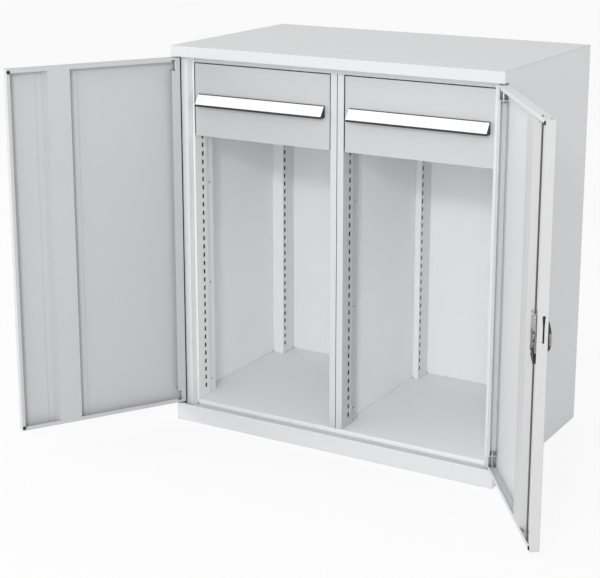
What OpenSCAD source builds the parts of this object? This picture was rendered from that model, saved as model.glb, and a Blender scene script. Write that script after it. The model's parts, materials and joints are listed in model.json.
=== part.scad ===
// Steel tool cabinet with two hinged doors, a middle partition, slotted uprights
// and one drawer at the top of each bay. Millimetres, +Z up, front towards -Y.
// The origin is the middle of the base footprint, on the floor.
// The doors are drawn open, as they stand at rest, and the drawers are shut.

/* [Cabinet] */
// Width over the side panels
cab_w = 1000; // [800:10:1200]
// Depth from the lid's front edge to the back panel
cab_d = 600; // [450:10:700]
// Height from the floor to the top of the lid
cab_h = 1100; // [900:10:1400]
// Thickness of the body's sheet steel
sheet = 1.5; // [1:0.1:2]
// Thickness of the lid's top sheet
lid_sheet = 2; // [1.5:0.1:3]
// Outer radius of the folds in the door leaves and the drawer fronts
fold_r = 2.5; // [2:0.1:4]
// Height of the lid's front edge
fascia_h = 30; // [24:1:45]
// Height of the plinth's front
plinth_h = 50; // [42:1:80]

/* [Front channel and rails] */
// How far the channel behind the plinth's top edge lies below that edge
channel_drop = 13; // [9:0.5:16]
// Depth of the plinth's top edge, front to back
plinth_lip = 6; // [4:0.5:6]
// Distance of the bays' front plane behind the cabinet's front
bay_setback = 53; // [51:1:70]
// Height of the top rail that shows under the lid
rail_drop = 20; // [14:1:40]
// Depth of the top rail's lower flange
rail_flange = 10; // [6:1:10]

/* [Uprights] */
// Reach of the slotted uprights into the bay, from the cabinet's side
upright_in = 40; // [34:1:50]
// Distance of the front posts from the cabinet's side
post_out = 14; // [13:0.5:18]
// Width of the groove between side panel and front post
post_groove = 8; // [6:0.5:9]
// Depth of that groove
groove_depth = 14; // [8:1:20]
// Step from the front post's inner edge to the slotted face
post_step = 4; // [2:0.5:6]
// Width of the slotted face on a front upright
slot_face = 59; // [50:1:80]
// Width of the stepped band behind the slotted face
band_w = 38; // [25:1:50]
// Step from the slotted face back to the band
band_step = 6; // [3:0.5:10]
// Width of a rear upright, front to back
rear_upright_w = 64; // [50:1:90]
// Distance between the shelf slots
slot_pitch = 25; // [20:1:50]
// Height of a shelf slot
slot_h = 13; // [8:0.5:16]
// Width of a shelf slot
slot_w = 10; // [4:0.5:14]
// Height of the lowest slot's middle above the bay floor
slot_first = 32.5; // [20:0.5:60]
// Distance of the front slots' middle from the slotted face's rear edge
slot_back = 20; // [10:1:40]
// Distance of the rear slots' middle from the rear upright's front
slot_fore = 11; // [9:1:40]
// Radius of the round fixing holes in the bands
fix_r = 3; // [2:0.5:5]
// Distance between the fixing holes
fix_pitch = 300; // [100:10:400]
// Height of the lowest fixing hole above the bay floor
fix_first = 40; // [20:1:100]

/* [Partition] */
// Thickness of the partition's uprights together
partition_t = 40; // [34:1:60]
// Gap between the two halves, where the middle sheet sits
seam_gap = 2; // [1.5:0.5:4]
// Set-back of the middle sheet's front edge behind the bay plane
seam_depth = 10; // [10:1:14]
// Depth of the flanges along the seam
seam_flange = 16; // [12:1:25]
// Width of the runner that carries the partition under the floor
runner_w = 60; // [40:5:100]

/* [Doors] */
// Thickness of a door leaf
door_t = 24; // [22:0.5:28]
// Gap above and below a leaf
door_gap = 4; // [3.5:0.5:8]
// Gap between the two closed leaves
leaf_gap = 4; // [3:0.5:8]
// Gap between the closed leaf's back and the front posts
door_back_gap = 4; // [3:0.5:6]
// Angle of the left leaf from closed, as it stands
open_left = 121; // [0:1:130]
// Angle of the right leaf from closed, as it stands
open_right = 125; // [0:1:130]
// Distance of the hinge axis from the leaf's outer edge
hinge_in = 7.5; // [7.5:0.1:9]
// Return lip along the top and bottom of a leaf
end_lip = 11; // [8:1:20]
// Return lip along the free edge
free_lip = 9; // [6:1:14]
// Return lip along the hinge edge
hinge_lip = 25; // [20:1:40]
// Distance of the stiffener's raised web from the free edge
stiff_edge = 113; // [100:1:160]
// Width of the stiffener's raised web
stiff_web = 62; // [40:1:90]
// Run of the stiffener's sloping walls
stiff_run = 12; // [6:1:20]
// Width of the stiffener's glued flanges
stiff_flange = 16; // [8:1:20]
// Radius of the hinge bolts
bolt_r = 4; // [3:0.1:4.2]
// Radial play of a hinge bolt in its plate
bolt_play = 0.05; // [0.02:0.01:0.1]
// Thickness of the hinge plates
plate_t = 4; // [3:0.5:6]
// Thickness of the saddles that hold the hinge bolts' inner ends
saddle_t = 3; // [2:0.5:5]
// Height of the pocket that gives access to a hinge bolt
pocket_h = 30; // [20:1:50]
// Distance of that pocket from the leaf's end
pocket_end = 6; // [3:0.5:20]
// Width of that pocket in the hinge lip
pocket_w = 13; // [8:0.5:16]
// Radius of the rubber buffers
buffer_r = 4.5; // [3:0.5:6]
// Height of the rubber buffers
buffer_h = 3; // [2:0.5:3.5]

/* [Lock] */
// Distance of the lock's axis from the right leaf's free edge
lock_edge = 44; // [40:1:50]
// Height of the lock's axis above the floor
lock_z = 564; // [300:1:800]
// Travel of each locking rod
rod_travel = 20; // [18:0.5:24]
// Width of the locking rods
rod_w = 10; // [8:0.5:16]
// Thickness of the locking rods
rod_t = 2; // [1.5:0.5:4]
// Play of a rod in the leaf's end walls, the case and the guide
rod_play = 0.3; // [0.2:0.05:0.6]
// Distance of the rods' rear face behind the return lips' inner side
rod_back = 1; // [0.5:0.1:2]
// Radius of the crank pins
pin_r = 3; // [2:0.5:4]
// Play of a crank pin in its cross slot
pin_play = 0.8; // [0.75:0.05:1.2]
// Thickness of the cam
cam_t = 2.4; // [2:0.1:3]
// Thickness of the lock case's walls and cover
case_sheet = 1.2; // [1:0.1:1.6]
// Height of the case's cover above the leaf's back
case_proud = 1; // [0.5:0.5:2]
// Gap between the rods' links and the case's side walls
link_clear = 1.3; // [1:0.1:3]
// Gap between the case's top and the upper rod's neck at its highest
case_room = 10; // [6:1:16]
// Height of the cover's lower edge above the lock's axis
cover_edge = 15; // [10:1:24]
// Distance from the lock's axis down to the lower rod's guide
guide_top = 35; // [28:1:40]
// Height of the lower rod's guide
guide_h = 28; // [24:1:36]
// Radius of the spindle
spindle_r = 8; // [6:0.5:9]
// Radial play of the spindle in the lock case
spindle_play = 0.05; // [0.02:0.01:0.1]
// Radius of the turning knob
knob_r = 36; // [30:1:38]
// Height of the knob above the leaf
knob_h = 10; // [9:0.5:16]
// Thickness of the plate under the knob
rosette_t = 2; // [1:0.5:3]
// Thickness of the knob's base
knob_base = 2.7; // [2.4:0.1:4]
// Width of the knob's rim
knob_rim = 3; // [2:0.5:5]
// Width of the grip across the knob
grip_w = 30; // [20:1:36]
// Radius of the key cylinder's plug
plug_r = 7; // [5:0.5:8]
// Height of the edge slot's top above the lock's axis
edge_slot_top = 59.5; // [50:0.5:70]
// Height of the lower end of the edge slot's taper above the lock's axis
edge_slot_bend = 33; // [24:1:44]
// Depth of the edge slot's lower end below the lock's axis
edge_slot_drop = 4.5; // [0:0.5:12]
// Width of the edge slot at its top
edge_slot_w = 7.6; // [6:0.2:9]
// Width of the edge slot at its lower end
edge_slot_neck = 4.2; // [3:0.2:6]
// Distance of the edge slot's middle from the leaf's outer face
edge_slot_d = 11; // [9:0.5:13]

/* [Drawers] */
// Height of a drawer front
front_h = 205; // [150:5:300]
// Depth of a drawer front's folded edges
front_t = 18; // [14:1:24]
// Gap round a drawer front
drawer_gap = 3; // [2:0.5:5]
// Height of a drawer tray
tray_h = 160; // [100:5:260]
// Height of the tray's underside above the front's lower edge
tray_lift = 10; // [4:1:30]
// Length of a drawer tray
tray_len = 480; // [300:10:520]
// Thickness of the tray's sheet
tray_sheet = 1; // [0.8:0.1:1.5]
// Width of a telescopic slide
slide_w = 12.7; // [11.5:0.1:16]
// Height of a telescopic slide
slide_h = 45; // [35:1:60]
// Thickness of the slides' sheet
slide_sheet = 1.2; // [1:0.1:1.5]
// Play between the members of a slide
slide_play = 0.3; // [0.2:0.05:0.4]
// Height of a slide's middle above the tray's underside
slide_up = 70; // [35:1:120]
// Distance of a drawer's handle from the ends of the front
handle_side = 15; // [5:1:100]
// Height of a drawer's handle
handle_h = 33; // [28:1:45]
// Reach of a drawer's handle in front of the drawer
handle_out = 24; // [20:0.5:25]
// Distance of the handle's top edge below the front's top edge
handle_down = 85; // [40:1:120]
// Thickness of the label strip
label_t = 1; // [0.5:0.1:2]

/* [Hidden] */
$fn = 48;
eps = 0.5;
steel_grey = [0.80, 0.81, 0.82];
inner_grey = [0.76, 0.77, 0.78];
zinc = [0.62, 0.63, 0.64];
dark_steel = [0.28, 0.28, 0.29];
black = [0.08, 0.08, 0.08];
white = [0.95, 0.95, 0.94];

// Planes and levels of the body
side_x = cab_w / 2;
front_y = -cab_d / 2;
back_y = cab_d / 2;
lid_under = cab_h - lid_sheet;
soffit_z = cab_h - fascia_h;
channel_z = plinth_h - channel_drop;
bay_y = front_y + bay_setback;
post_y = front_y + door_t + door_back_gap;
back_in = back_y - sheet;
side_in = side_x - sheet;
rail_z = soffit_z - rail_drop;

// Uprights
bay_x = side_x - upright_in;
part_x = partition_t / 2;
bay_w = bay_x - part_x;
band_y = bay_y + slot_face;
band_end = band_y + band_w;
rear_y = back_in - rear_upright_w;
slot_y = band_y - slot_back;
rear_slot_y = rear_y + slot_fore;

// Door leaves: s runs from the hinge edge, d from the outer face
leaf_w = side_x - leaf_gap / 2;
leaf_z0 = plinth_h + door_gap;
leaf_z1 = soffit_z - door_gap;
leaf_h = leaf_z1 - leaf_z0;
hinge_d = door_t / 2;
hinge_x = side_x - hinge_in;
hinge_y = front_y + hinge_d;
bore_r = bolt_r + bolt_play;
lip_d = door_t - sheet;
stiff_s = leaf_w - stiff_edge - stiff_web / 2;

// Lock stack, from the outer sheet inwards
lock_s = leaf_w - lock_edge;
rod_d1 = lip_d - rod_back;
rod_d0 = rod_d1 - rod_t;
cam_d1 = rod_d0 - rod_play;
cam_d0 = cam_d1 - cam_t;
case_d1 = cam_d0 - 0.3;
crank = rod_travel / 2 / sin(45);
crank_rest = rod_travel / 2;
cam_r = crank + pin_r + 2;
pin_end = rod_d1 + 0.5;
link_in = 3.5;
link_out = crank + pin_r + 3.4;
link_half = pin_r + pin_play + 5;
link_top = crank_rest + link_half + 3.3;
neck_w = 8;
neck_top = link_top + 1;
case_half = link_out + link_clear + case_sheet;
case_top = neck_top + rod_travel + case_room + case_sheet;
cover_d1 = door_t + case_proud;
cover_d0 = cover_d1 - case_sheet;
case_screws = [[-case_half + 8, case_top - 7], [case_half - 8, case_top - 7]];
guide_screw = [-case_half + 9, -guide_top - 7];
screw_r = 2;
screw_bite = 7;
rod_tip = 2;
rod_hole_w = rod_w + 2 * rod_play;
strike_w = rod_w + 10;
strike_len = rod_t + 18;
strike_y = front_y + (rod_d0 + rod_d1) / 2 + 1.25;
strike_x = side_x - lock_s;
knob_h0 = rosette_t + 0.3;
knob_h1 = knob_h0 + knob_base;
insert_t = 8;
insert_pocket = 5;
insert_wall = 3.5;

// Drawers, drawn for the right bay
front_x0 = part_x + drawer_gap;
front_x1 = bay_x - drawer_gap;
front_z1 = rail_z - drawer_gap;
front_z0 = front_z1 - front_h;
tray_x0 = part_x + slide_w;
tray_x1 = bay_x - slide_w;
tray_y0 = bay_y + sheet;
front_back = bay_y + front_t;
tray_z0 = front_z0 + tray_lift;
slide_z = tray_z0 + slide_up;
slide_y0 = front_back + 1;
slide_len = rear_y + 12 - slide_y0;
handle_x = (part_x + bay_x) / 2;
handle_z = front_z1 - handle_down;
handle_w = front_x1 - front_x0 - 2 * handle_side;
cap_t = 1.5;
rail_w = handle_w - 2 * cap_t;
label_top = 2.5;
label_foot = 0.8;

// ---- shared shapes ----

// A box between two corners
module span(x0, x1, y0, y1, z0, z1) {
    translate([x0, y0, z0]) cube([x1 - x0, y1 - y0, z1 - z0]);
}

// A flat strip in a plan outline
module strip(x0, x1, y0, y1) {
    translate([x0, y0]) square([x1 - x0, y1 - y0]);
}

// A round bar along the leaf's thickness
module bar_d(r, d0, d1, s, z) {
    translate([s, d0, z]) rotate([-90, 0, 0]) cylinder(h = d1 - d0, r = r);
}

module mirrored() {
    mirror([1, 0, 0]) children();
}

// A rectangle in plan whose corners on the y0 side are folded round
module folded_plan(x0, x1, y0, y1) {
    strip(x0, x1, y0 + fold_r, y1);
    strip(x0 + fold_r, x1 - fold_r, y0, y1);
    for (x = [x0 + fold_r, x1 - fold_r]) translate([x, y0 + fold_r]) circle(r = fold_r);
}

// The rounded turn of a front edge: quarter disc under the corner at y and z
module nose(y, z, r) {
    intersection() {
        translate([y + r, z - r]) circle(r = r);
        strip(y, y + r, z - r, z);
    }
}

// Runs a profile, drawn with y across and z up, from x0 to x1
module run_x(x0, x1) {
    translate([x0, 0, 0]) rotate([90, 0, 90]) linear_extrude(x1 - x0) children();
}

// A row of shelf slots through a wall that stands across X at x
module slot_row(x, y) {
    count = floor((rail_z - plinth_h - slot_first - slot_h) / slot_pitch) + 1;
    for (i = [0 : count - 1])
        translate([x, y, plinth_h + slot_first + i * slot_pitch])
            cube([sheet + 2 * eps, slot_w, slot_h], center = true);
}

// A row of round fixing holes through a wall that stands across X at x
module fix_row(x, y) {
    count = floor((rail_z - plinth_h - fix_first - fix_r) / fix_pitch) + 1;
    for (i = [0 : count - 1])
        translate([x, y, plinth_h + fix_first + i * fix_pitch])
            rotate([0, 90, 0]) cylinder(h = sheet + 2 * eps, r = fix_r, center = true);
}

// ---- cabinet body ----

// Folded top: sheet, front edge and the soffit that the doors close under
module lid() {
    color(steel_grey) difference() {
        union() {
            run_x(-side_x, side_x) {
                strip(front_y + lid_sheet, back_y, lid_under, cab_h);
                nose(front_y, cab_h, lid_sheet);
            }
            span(-side_in, side_in, front_y, front_y + sheet, soffit_z, lid_under);
            span(-side_in, side_in, front_y + sheet, bay_y, soffit_z, soffit_z + sheet);
        }
        rod_strike(soffit_z);
        for (x = [-hinge_x, hinge_x])
            translate([x, hinge_y, soffit_z - eps]) cylinder(h = sheet + 2 * eps, r = bolt_r + 1);
    }
}

// Slot that a locking rod enters, cut through a level sheet whose underside is at z
module rod_strike(z) {
    translate([strike_x, strike_y, z + sheet / 2])
        cube([strike_w, strike_len, sheet + 2 * eps], center = true);
}

// Outer side, with its front edge folded into a groove beside the front post
module side_panel() {
    x0 = -side_x;
    post_x = -side_x + post_out;
    wall_x = post_x - post_groove;
    color(steel_grey) union() {
        difference() {
            span(x0, x0 + sheet, front_y, back_y, 0, lid_under);
            span(x0 - eps, x0 + sheet + eps, front_y - eps, post_y, plinth_h, soffit_z);
        }
        translate([0, 0, plinth_h]) linear_extrude(soffit_z - plinth_h) {
            strip(x0 + sheet, wall_x, post_y, post_y + sheet);
            strip(wall_x - sheet, wall_x, post_y, post_y + groove_depth);
            strip(wall_x - sheet, post_x, post_y + groove_depth - sheet, post_y + groove_depth);
        }
    }
}

module side_panel_left() { side_panel(); }
module side_panel_right() { mirrored() side_panel(); }

module back_panel() {
    color(steel_grey) span(-side_in, side_in, back_in, back_y, 0, lid_under);
}

// Floor of both bays, with its front edge turned down to the channel
module floor_panel() {
    color(inner_grey) union() {
        span(-side_in, side_in, bay_y, back_in, plinth_h - sheet, plinth_h);
        span(-side_in, side_in, bay_y, bay_y + sheet, channel_z - sheet, plinth_h - sheet);
    }
}

// Channel under the floor that carries the partition and rests on the ground
module base_runner() {
    w = runner_w / 2;
    color(steel_grey) translate([0, back_in, 0]) rotate([90, 0, 0])
        linear_extrude(back_in - bay_y - sheet) {
            strip(-w, w, 0, sheet);
            strip(-w, -w + sheet, 0, plinth_h - sheet);
            strip(w - sheet, w, 0, plinth_h - sheet);
        }
}

// Plinth: front, top edge, and the channel that the doors' feet close over
module plinth_front() {
    lip_y = front_y + plinth_lip;
    color(steel_grey) difference() {
        run_x(-side_in, side_in) {
            strip(front_y, front_y + sheet, 0, plinth_h - sheet);
            nose(front_y, plinth_h, sheet);
            strip(front_y + sheet, lip_y, plinth_h - sheet, plinth_h);
            strip(lip_y - sheet, lip_y, channel_z - sheet, plinth_h);
            strip(lip_y - sheet, bay_y, channel_z - sheet, channel_z);
        }
        rod_strike(channel_z - sheet);
    }
}

// Rail across the top of both bays
module top_rail() {
    color(steel_grey) union() {
        span(-bay_x, bay_x, bay_y, bay_y + sheet, rail_z, lid_under);
        span(-bay_x, bay_x, bay_y + sheet, bay_y + rail_flange, rail_z, rail_z + sheet);
    }
}

// Plan outline of an outer front upright, left side: post, step, slotted face, band
module front_upright_plan() {
    post_x = -side_x + post_out;
    inner_x = -bay_x - post_step;
    strip(post_x, post_x + sheet, post_y, post_y + groove_depth);
    strip(post_x, inner_x, post_y, post_y + sheet);
    strip(inner_x - sheet, inner_x, post_y, bay_y + sheet);
}

module front_upright() {
    inner_x = -bay_x - post_step;
    band_x = -bay_x - band_step;
    color(inner_grey) difference() {
        union() {
            translate([0, 0, channel_z]) linear_extrude(soffit_z - channel_z)
                intersection() {
                    front_upright_plan();
                    strip(-side_x, 0, front_y, bay_y);
                }
            translate([0, 0, plinth_h]) linear_extrude(lid_under - plinth_h) {
                strip(inner_x - sheet, -bay_x, bay_y, bay_y + sheet);
                strip(-bay_x - sheet, -bay_x, bay_y, band_y);
                strip(band_x - sheet, -bay_x, band_y - sheet, band_y);
                strip(band_x - sheet, band_x, band_y - sheet, band_end);
                strip(-side_in, band_x, band_end - sheet, band_end);
            }
        }
        slot_row(-bay_x - sheet / 2, slot_y);
        fix_row(band_x - sheet / 2, band_y + band_w / 2);
    }
}

module front_upright_left() { front_upright(); }
module front_upright_right() { mirrored() front_upright(); }

module rear_upright() {
    color(inner_grey) difference() {
        translate([0, 0, plinth_h]) linear_extrude(lid_under - plinth_h) {
            strip(-side_in, -bay_x, rear_y, rear_y + sheet);
            strip(-bay_x - sheet, -bay_x, rear_y, back_in);
        }
        slot_row(-bay_x - sheet / 2, rear_slot_y);
    }
}

module rear_upright_left() { rear_upright(); }
module rear_upright_right() { mirrored() rear_upright(); }

// One half of the partition's front upright, drawn on the left of the middle sheet
module partition_front() {
    mid_x = -seam_gap / 2;
    band_x = -part_x + band_step;
    color(inner_grey) difference() {
        translate([0, 0, plinth_h]) linear_extrude(rail_z - plinth_h) {
            strip(-part_x, mid_x, bay_y, bay_y + sheet);
            strip(mid_x - sheet, mid_x, bay_y, bay_y + seam_flange);
            strip(-part_x, -part_x + sheet, bay_y, band_y);
            strip(-part_x, band_x + sheet, band_y - sheet, band_y);
            strip(band_x, band_x + sheet, band_y - sheet, band_end);
            strip(band_x, mid_x, band_end - sheet, band_end);
        }
        slot_row(-part_x + sheet / 2, slot_y);
        fix_row(band_x + sheet / 2, band_y + band_w / 2);
    }
}

module partition_front_left() { partition_front(); }
module partition_front_right() { mirrored() partition_front(); }

// One half of the partition's rear upright, drawn on the left of the middle sheet
module partition_rear() {
    color(inner_grey) difference() {
        translate([0, 0, plinth_h]) linear_extrude(lid_under - plinth_h) {
            strip(-part_x, -seam_gap / 2, rear_y, rear_y + sheet);
            strip(-part_x, -part_x + sheet, rear_y, back_in);
        }
        slot_row(-part_x + sheet / 2, rear_slot_y);
    }
}

module partition_rear_left() { partition_rear(); }
module partition_rear_right() { mirrored() partition_rear(); }

module partition_sheet() {
    color(inner_grey)
        span(-seam_gap / 2, seam_gap / 2, bay_y + seam_depth, back_in, plinth_h, lid_under);
}

// Bored plate that a hinge bolt turns in, left side, its underside at z
module hinge_plate(z) {
    plate_y0 = front_y + plinth_lip + 0.5;
    color(zinc) difference() {
        span(-side_in, -bay_x - post_step, plate_y0, post_y - 0.5, z, z + plate_t);
        translate([-hinge_x, hinge_y, z - eps]) cylinder(h = plate_t + 2 * eps, r = bore_r);
    }
}

module hinge_plate_top_left() { hinge_plate(soffit_z + sheet); }
module hinge_plate_top_right() { mirrored() hinge_plate(soffit_z + sheet); }
module hinge_plate_bottom_left() { hinge_plate(channel_z); }
module hinge_plate_bottom_right() { mirrored() hinge_plate(channel_z); }

// ---- door leaves ----

// Carries a leaf from closed to the angle it stands at
module leaf_pose(angle) {
    translate([-hinge_x, hinge_y, 0]) rotate([0, 0, -angle])
        translate([-hinge_in, -hinge_d, 0]) children();
}

module left_leaf() { leaf_pose(open_left) children(); }
module right_leaf() { mirrored() leaf_pose(open_right) children(); }

// Folded pan: outer sheet, four walls and their return lips
module leaf_pan() {
    difference() {
        translate([0, 0, leaf_z0]) linear_extrude(leaf_h) folded_plan(0, leaf_w, 0, door_t);
        span(sheet, leaf_w - sheet, sheet, lip_d, leaf_z0 + sheet, leaf_z1 - sheet);
        span(hinge_lip, leaf_w - free_lip, lip_d - eps, door_t + eps,
            leaf_z0 + end_lip, leaf_z1 - end_lip);
        for (z = [leaf_z0 + pocket_end, leaf_z1 - pocket_end - pocket_h])
            span(hinge_lip - pocket_w, hinge_lip + eps, lip_d - eps, door_t + eps,
                z, z + pocket_h);
        for (z = [leaf_z0, leaf_z1 - sheet])
            translate([hinge_in, hinge_d, z - eps]) cylinder(h = sheet + 2 * eps, r = bore_r);
    }
}

// Hat-shaped stiffener between the end lips
module leaf_stiffener() {
    top = stiff_web / 2;
    foot = top + stiff_run;
    wide = foot + stiff_flange;
    color(steel_grey) translate([stiff_s, 0, leaf_z0 + end_lip])
        linear_extrude(leaf_h - 2 * end_lip)
            polygon([
                [-wide, sheet], [-foot + sheet, sheet], [-top + sheet, lip_d],
                [top - sheet, lip_d], [foot - sheet, sheet], [wide, sheet],
                [wide, 2 * sheet], [foot, 2 * sheet], [top, door_t],
                [-top, door_t], [-foot, 2 * sheet], [-wide, 2 * sheet]
            ]);
}

// Hinge bolt that stands out of the leaf's end by reach, with its collar inside the end wall
module hinge_bolt(reach) {
    tail = pocket_end + pocket_h + saddle_t + 6;
    translate([0, 0, -tail]) cylinder(h = tail + reach, r = bolt_r);
    translate([0, 0, -sheet - 3]) cylinder(h = 3, r = bolt_r + 1.5);
}

module leaf_hinge_bolts() {
    color(zinc) translate([hinge_in, hinge_d, 0]) {
        translate([0, 0, leaf_z1]) hinge_bolt(soffit_z + sheet + plate_t - 0.5 - leaf_z1);
        translate([0, 0, leaf_z0]) mirror([0, 0, 1]) hinge_bolt(leaf_z0 - channel_z - 0.5);
    }
}

// Saddles that hold the hinge bolts' inner ends between the leaf's walls
module leaf_bolt_saddles() {
    saddle = pocket_end + pocket_h;
    color(zinc) for (z = [leaf_z0 + saddle, leaf_z1 - saddle - saddle_t])
        difference() {
            span(sheet, hinge_lip - 3, sheet, lip_d, z, z + saddle_t);
            translate([hinge_in, hinge_d, z - eps]) cylinder(h = saddle_t + 2 * eps, r = bore_r);
        }
}

// Round rubber buffers on the return lips at the free corners
module leaf_buffers() {
    for (z = [leaf_z0 + 8, leaf_z1 - 8])
        bar_d(buffer_r, door_t, door_t + buffer_h, leaf_w - buffer_r - 0.5, z);
}

module door_left() { color(steel_grey) left_leaf() leaf_pan(); }
module door_left_stiffener() { left_leaf() leaf_stiffener(); }
module door_left_hinge_bolts() { left_leaf() leaf_hinge_bolts(); }
module door_left_bolt_saddles() { left_leaf() leaf_bolt_saddles(); }
module door_left_buffers() { color(black) left_leaf() leaf_buffers(); }

// Right leaf: as the left one, with holes for the rods and the lock
module door_right() {
    color(steel_grey) right_leaf() difference() {
        leaf_pan();
        for (z = [leaf_z0 + sheet / 2, leaf_z1 - sheet / 2])
            translate([lock_s, (rod_d0 + rod_d1) / 2, z])
                cube([rod_hole_w, rod_t + 2 * rod_play, sheet + 2 * eps], center = true);
        bar_d(spindle_r + 0.6, -eps, sheet + eps, lock_s, lock_z);
        edge_slot();
    }
}

// Outline of the slot in the free edge, tapered from its wide top
module edge_slot_plan() {
    wide = edge_slot_w / 2;
    neck = edge_slot_neck / 2;
    polygon([
        [-neck, -edge_slot_drop], [neck, -edge_slot_drop], [neck, edge_slot_bend],
        [wide, edge_slot_top], [-wide, edge_slot_top], [-neck, edge_slot_bend]
    ]);
}

module edge_slot() {
    translate([leaf_w - sheet - eps, edge_slot_d, lock_z]) rotate([90, 0, 90])
        linear_extrude(sheet + 2 * eps) edge_slot_plan();
}

module door_right_stiffener() { right_leaf() leaf_stiffener(); }
module door_right_hinge_bolts() { right_leaf() leaf_hinge_bolts(); }
module door_right_bolt_saddles() { right_leaf() leaf_bolt_saddles(); }

// Buffers of the right leaf, with the plug in its top edge near the free corner
module door_right_buffers() {
    color(black) right_leaf() {
        leaf_buffers();
        translate([leaf_w - 12, 9, leaf_z1]) cylinder(h = 1, r = 3);
    }
}

// ---- lock ----

// A plate between two depths: x across and y up from the lock's axis
module plate_d(d0, d1) {
    translate([lock_s, d0, lock_z]) rotate([-90, 0, 0]) mirror([0, 1, 0])
        linear_extrude(d1 - d0) children();
}

// An outline turned about the lock's axis: radius across, height out of the leaf up
module turned() {
    translate([lock_s, 0, lock_z]) rotate([90, 0, 0]) rotate_extrude() children();
}

// Bores for screws between two depths
module screw_bores(places, d0, d1) {
    for (p = places) bar_d(screw_r + 0.2, d0, d1, lock_s + p[0], lock_z + p[1]);
}

// Way of a rod between two heights above the axis
module rod_way(z0, z1) {
    span(lock_s - rod_w / 2 - rod_play, lock_s + rod_w / 2 + rod_play,
        rod_d0 - rod_play, rod_d1 + rod_play, lock_z + z0, lock_z + z1);
}

// Case with side walls, a cover over the links and an open window over the cam
module lock_case() {
    color(zinc) right_leaf() difference() {
        union() {
            plate_d(sheet, case_d1)
                strip(-case_half, case_half, -guide_top - guide_h, case_top);
            plate_d(sheet, cover_d1) {
                strip(-case_half, case_sheet - case_half, -guide_top, case_top);
                strip(case_half - case_sheet, case_half, -guide_top, case_top);
                strip(-case_half, case_half, case_top - case_sheet, case_top);
            }
            plate_d(cover_d0, cover_d1) strip(-case_half, case_half, cover_edge, case_top);
        }
        bar_d(spindle_r + spindle_play, sheet - eps, case_d1 + eps, lock_s, lock_z);
        rod_way(case_top - case_sheet - eps, case_top + eps);
        screw_bores(case_screws, case_d1 - screw_bite - 1, cover_d1 + eps);
        screw_bores([guide_screw], case_d1 - screw_bite - 1, case_d1 + eps);
    }
}

module lock_screws() {
    color(zinc) right_leaf() for (p = concat(case_screws, [guide_screw])) {
        bar_d(screw_r, case_d1 - screw_bite, cover_d1 + 0.5, lock_s + p[0], lock_z + p[1]);
        bar_d(2 * screw_r, cover_d1, cover_d1 + 1.5, lock_s + p[0], lock_z + p[1]);
    }
}

// Guide of the lower rod, drawn out to a slanting foot
module rod_guide() {
    left = 2 - case_half;
    right = rod_w / 2 + 6;
    color(black) right_leaf() difference() {
        plate_d(case_d1, cover_d1)
            polygon([
                [left, -guide_top], [right, -guide_top], [right, -guide_top - guide_h],
                [rod_w / 2 + 1, -guide_top - guide_h], [left, -guide_top - guide_h / 2.5]
            ]);
        rod_way(-guide_top - guide_h - eps, eps - guide_top);
        plate_d(rod_d0 - rod_play, rod_d1 + rod_play)
            strip(0, right + eps, -neck_top - rod_travel - 1, eps - guide_top);
        screw_bores([guide_screw], case_d1 - eps, cover_d1 + eps);
    }
}

// Insert behind the slot in the free edge, with a pocket of the slot's outline
module edge_insert() {
    wall = leaf_w - sheet;
    wide = edge_slot_w / 2 + insert_wall;
    color(black) right_leaf() difference() {
        span(wall - insert_t, wall, edge_slot_d - wide, edge_slot_d + wide,
            lock_z - edge_slot_drop - insert_wall, lock_z + edge_slot_top + insert_wall);
        translate([wall - insert_pocket, edge_slot_d, lock_z]) rotate([90, 0, 90])
            linear_extrude(insert_pocket + eps) edge_slot_plan();
    }
}

// Fixed plate under the knob, on the leaf's outer face
module knob_plate() {
    color(black) right_leaf() turned()
        strip(spindle_r + 0.6, knob_r - 1, 0, rosette_t);
}

// Half outline of knob and grip together above height h
module knob_half(h) {
    polygon([
        [0, h], [knob_r, h], [knob_r, knob_h - 0.8], [knob_r - 0.8, knob_h], [0, knob_h]
    ]);
}

// Slanting-sided bar across the knob, wider by this much on each side
module grip_bar(more) {
    half = grip_w / 2 + more;
    top = half - (knob_h - knob_h1) / 2.5;
    translate([lock_s - knob_r - eps, 0, lock_z]) rotate([90, 0, 90])
        linear_extrude(2 * knob_r + 2 * eps)
            polygon([[-knob_h1, -half], [-knob_h1, half], [-knob_h, top], [-knob_h, -top]]);
}

// Round knob: base, and a rim that the grip breaks through
module turn_knob() {
    inner = knob_r - knob_rim;
    color(black) right_leaf() difference() {
        turned() difference() {
            union() {
                strip(0, knob_r - 0.8, knob_h0, knob_h1);
                knob_half(knob_h0 + 0.8);
            }
            polygon([
                [-eps, knob_h1], [inner - 1, knob_h1], [inner, knob_h1 + 1],
                [inner, knob_h + eps], [-eps, knob_h + eps]
            ]);
        }
        difference() {
            grip_bar(0.2);
            span(0, leaf_w, -knob_h1, 0, lock_z - knob_r, lock_z + knob_r);
        }
        span(lock_s - knob_r - eps, lock_s + knob_r + eps, -knob_h - eps, -knob_h,
            lock_z - grip_w / 2, lock_z + grip_w / 2);
        bar_d(spindle_r + spindle_play, -knob_h0 - 2, -knob_h0 + eps, lock_s, lock_z);
    }
}

module knob_grip() {
    color(zinc) right_leaf() difference() {
        intersection() {
            turned() knob_half(knob_h1);
            grip_bar(0);
        }
        bar_d(plug_r + spindle_play, -knob_h - eps, eps - knob_h1, lock_s, lock_z);
    }
}

module lock_spindle() {
    color(zinc) right_leaf() bar_d(spindle_r, -knob_h0 - 1.9, cam_d0, lock_s, lock_z);
}

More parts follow.
